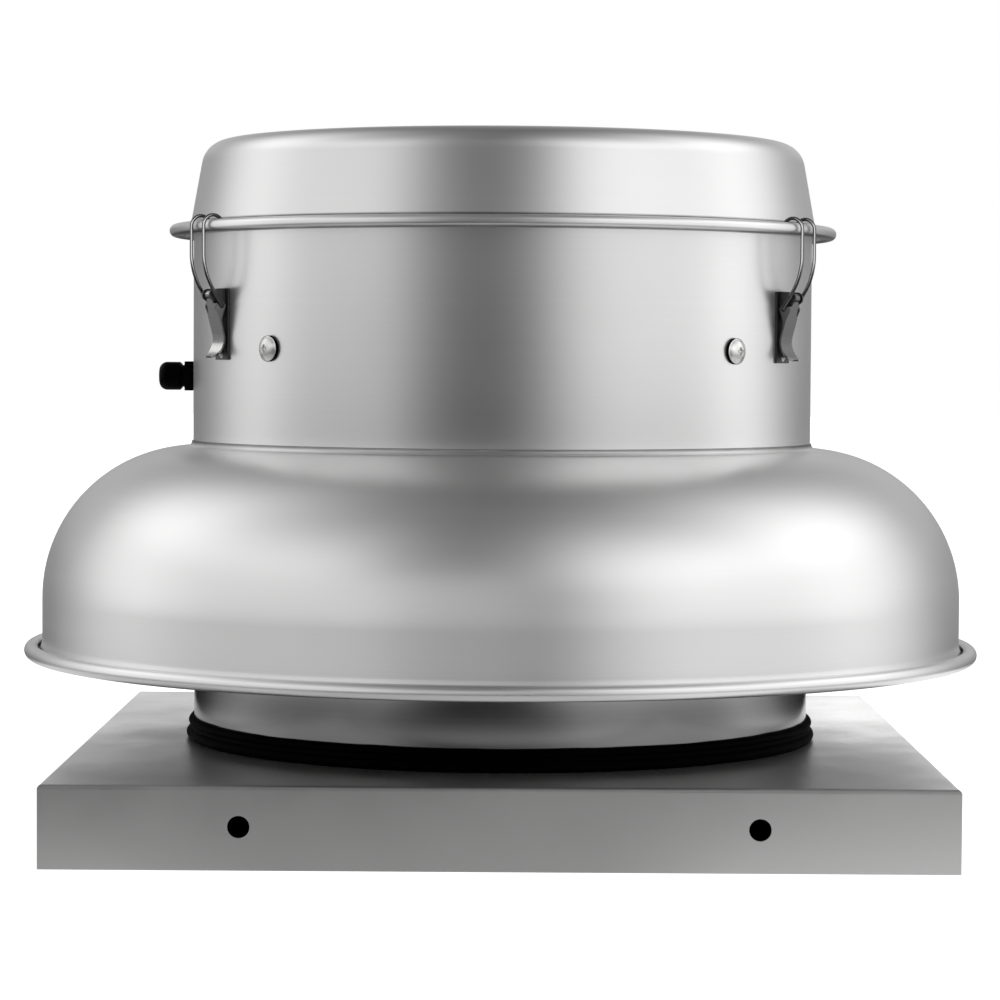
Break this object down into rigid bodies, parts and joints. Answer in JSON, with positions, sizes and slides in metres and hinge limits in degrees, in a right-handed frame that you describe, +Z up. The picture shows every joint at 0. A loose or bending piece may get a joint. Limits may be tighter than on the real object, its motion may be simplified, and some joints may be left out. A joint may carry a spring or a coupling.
{
  "type": "roof exhaust fan",
  "caption": "Downblast centrifugal roof exhaust fan with a spun metal shroud, a round motor housing closed by a latched cap, and a square curb cap base.",
  "frame": {"origin": "centre of the curb cap's lower edge", "axes": "+Z up along the wheel shaft, front of the object towards -Y"},
  "size_m": [0.5216, 0.5214, 0.37],
  "materials": {
    "spun_aluminium": "satin spun sheet",
    "galvanised_steel": "dull zinc coat",
    "plated_steel": "bright zinc plate",
    "stainless_steel": "rolled and polished",
    "black_rubber": "matt",
    "black_nylon": "moulded satin",
    "cast_aluminium": "as cast",
    "lamination_steel": "stacked sheet",
    "bearing_steel": "ground",
    "box_grey": "satin paint",
    "capacitor_can": "smooth"
  },
  "bodies": {
    "housing": {"curb_cap": "spun_aluminium", "inlet_collar": "spun_aluminium", "inlet_cone": "spun_aluminium", "shroud": "spun_aluminium", "motor_drum": "spun_aluminium", "motor_cap": "spun_aluminium", "support_post_1": "galvanised_steel", "support_post_2": "galvanised_steel", "support_post_3": "galvanised_steel", "support_post_4": "galvanised_steel", "motor_plate": "galvanised_steel", "motor_spider": "galvanised_steel", "capacitor_clamp": "galvanised_steel", "collar_rivets": "plated_steel", "cone_rivets": "plated_steel", "post_bolts": "plated_steel", "post_nuts": "plated_steel", "latch_rivets": "plated_steel", "outlet_guard": "plated_steel", "drum_screws": "stainless_steel", "latch_bracket_1": "stainless_steel", "latch_bracket_2": "stainless_steel", "latch_bracket_3": "stainless_steel", "latch_pin_1": "stainless_steel", "latch_pin_2": "stainless_steel", "latch_pin_3": "stainless_steel", "collar_gasket": "black_rubber", "spider_mounts": "black_rubber", "screw_washers": "black_rubber", "gland_washer": "black_rubber", "gland_insert": "black_rubber", "gland_body": "black_nylon", "gland_nut": "black_nylon", "gland_locknut": "black_nylon", "motor_body": "cast_aluminium", "motor_cover_lower": "cast_aluminium", "motor_cover_upper": "cast_aluminium", "stator": "lamination_steel", "bearing_lower": "bearing_steel", "bearing_upper": "bearing_steel", "terminal_box": "box_grey", "terminal_lid": "box_grey", "capacitor": "capacitor_can"},
    "fan_wheel": {"motor_shaft": "bearing_steel", "rotor": "lamination_steel", "wheel_hub": "cast_aluminium", "hub_screw": "plated_steel", "wheel_back_plate": "spun_aluminium", "wheel_blades": "spun_aluminium", "wheel_inlet_ring": "spun_aluminium"},
    "latch_lever_1": {"lever_1": "stainless_steel"},
    "latch_bail_1": {"bail_1": "stainless_steel"},
    "latch_lever_2": {"lever_2": "stainless_steel"},
    "latch_bail_2": {"bail_2": "stainless_steel"},
    "latch_lever_3": {"lever_3": "stainless_steel"},
    "latch_bail_3": {"bail_3": "stainless_steel"}
  },
  "joints": [
    {"name": "wheel_spin", "type": "hinge", "parent": "housing", "child": "fan_wheel", "pos_m": [0, 0, 0.2], "axis": [0, 0, 1], "continuous": true},
    {"name": "lever_1_swing", "type": "hinge", "parent": "housing", "child": "latch_lever_1", "pos_m": [-0.15268, -0.08815, 0.28201], "axis": [-0.5, 0.866, 0], "range_deg": [0, 115]},
    {"name": "bail_1_swing", "type": "hinge", "parent": "latch_lever_1", "child": "latch_bail_1", "pos_m": [-0.14982, -0.0865, 0.27601], "axis": [-0.5, 0.866, 0], "range_deg": [-101, 0]},
    {"name": "lever_2_swing", "type": "hinge", "parent": "housing", "child": "latch_lever_2", "pos_m": [0.15268, -0.08815, 0.28201], "axis": [-0.5, -0.866, 0], "range_deg": [0, 115]},
    {"name": "bail_2_swing", "type": "hinge", "parent": "latch_lever_2", "child": "latch_bail_2", "pos_m": [0.14982, -0.0865, 0.27601], "axis": [-0.5, -0.866, 0], "range_deg": [-101, 0]},
    {"name": "lever_3_swing", "type": "hinge", "parent": "housing", "child": "latch_lever_3", "pos_m": [0, 0.1763, 0.28201], "axis": [1, 0, 0], "range_deg": [0, 115]},
    {"name": "bail_3_swing", "type": "hinge", "parent": "latch_lever_3", "child": "latch_bail_3", "pos_m": [0, 0.173, 0.27601], "axis": [1, 0, 0], "range_deg": [-101, 0]}
  ],
  "couplings": [
    {"joint": "bail_1_swing", "follows": "lever_1_swing", "ratio": -0.875},
    {"joint": "bail_2_swing", "follows": "lever_2_swing", "ratio": -0.875},
    {"joint": "bail_3_swing", "follows": "lever_3_swing", "ratio": -0.875}
  ]
}
